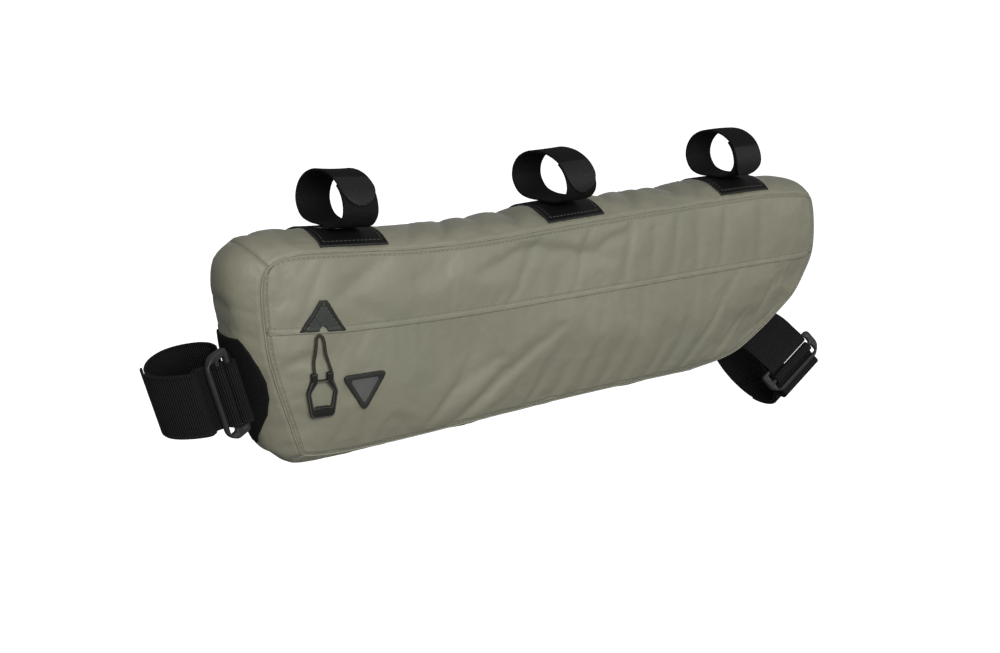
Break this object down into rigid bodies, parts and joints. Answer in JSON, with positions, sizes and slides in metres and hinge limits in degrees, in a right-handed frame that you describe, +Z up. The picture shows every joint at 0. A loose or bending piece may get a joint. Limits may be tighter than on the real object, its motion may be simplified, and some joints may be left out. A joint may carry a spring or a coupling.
{
  "type": "bicycle frame bag",
  "caption": "Slim zipped cloth bag that hangs inside a bicycle frame, with hook-and-loop rings on top and buckled straps round the seat tube and the down tube.",
  "frame": {"origin": "middle of the middle ring on top, where the top tube's axis passes", "axes": "+X forward along the top tube towards the head tube, +Z up, -Y out of the side with the zip"},
  "size_m": [0.5738, 0.0782, 0.2314],
  "materials": {
    "front_lower_panel_cloth": "coated weave, satin",
    "front_upper_panel_cloth": "coated weave, satin",
    "back_panel_cloth": "coated weave, satin",
    "top_gusset_cloth": "coated weave, satin",
    "seat_end_gusset_cloth": "coated weave, satin",
    "head_end_gusset_cloth": "coated weave, satin",
    "bottom_gusset_cloth": "coated weave, satin",
    "zip_welt_cloth": "coated weave, satin",
    "zip_garage_rubber": "matte",
    "loop_patch_1_rubber": "matte",
    "loop_patch_2_rubber": "matte",
    "loop_patch_3_rubber": "matte",
    "top_loop_1_webbing": "woven webbing, matte",
    "top_loop_2_webbing": "woven webbing, matte",
    "top_loop_3_webbing": "woven webbing, matte",
    "seat_end_patch_webbing": "woven webbing, matte",
    "seat_tube_strap_webbing": "woven webbing, matte",
    "seat_tube_buckle_holder_webbing": "woven webbing, matte",
    "seat_tube_buckle_plastic": "satin",
    "down_tube_strap_webbing": "woven webbing, matte",
    "down_tube_buckle_holder_webbing": "woven webbing, matte",
    "down_tube_buckle_plastic": "satin",
    "badge_rubber": "matte",
    "zip_slider_plastic": "satin",
    "zip_pull_cord_cord": "braided, matte",
    "zip_pull_plastic": "satin"
  },
  "bodies": {
    "root": {"front_lower_panel": "front_lower_panel_cloth", "front_upper_panel": "front_upper_panel_cloth", "back_panel": "back_panel_cloth", "top_gusset": "top_gusset_cloth", "seat_end_gusset": "seat_end_gusset_cloth", "head_end_gusset": "head_end_gusset_cloth", "bottom_gusset": "bottom_gusset_cloth", "zip_welt": "zip_welt_cloth", "zip_garage": "zip_garage_rubber", "loop_patch_1": "loop_patch_1_rubber", "loop_patch_2": "loop_patch_2_rubber", "loop_patch_3": "loop_patch_3_rubber", "top_loop_1": "top_loop_1_webbing", "top_loop_2": "top_loop_2_webbing", "top_loop_3": "top_loop_3_webbing", "seat_end_patch": "seat_end_patch_webbing", "seat_tube_strap": "seat_tube_strap_webbing", "seat_tube_buckle_holder": "seat_tube_buckle_holder_webbing", "seat_tube_buckle": "seat_tube_buckle_plastic", "down_tube_strap": "down_tube_strap_webbing", "down_tube_buckle_holder": "down_tube_buckle_holder_webbing", "down_tube_buckle": "down_tube_buckle_plastic", "badge": "badge_rubber", "zip_slider": "zip_slider_plastic", "zip_pull_cord": "zip_pull_cord_cord", "zip_pull": "zip_pull_plastic"}
  },
  "joints": []
}
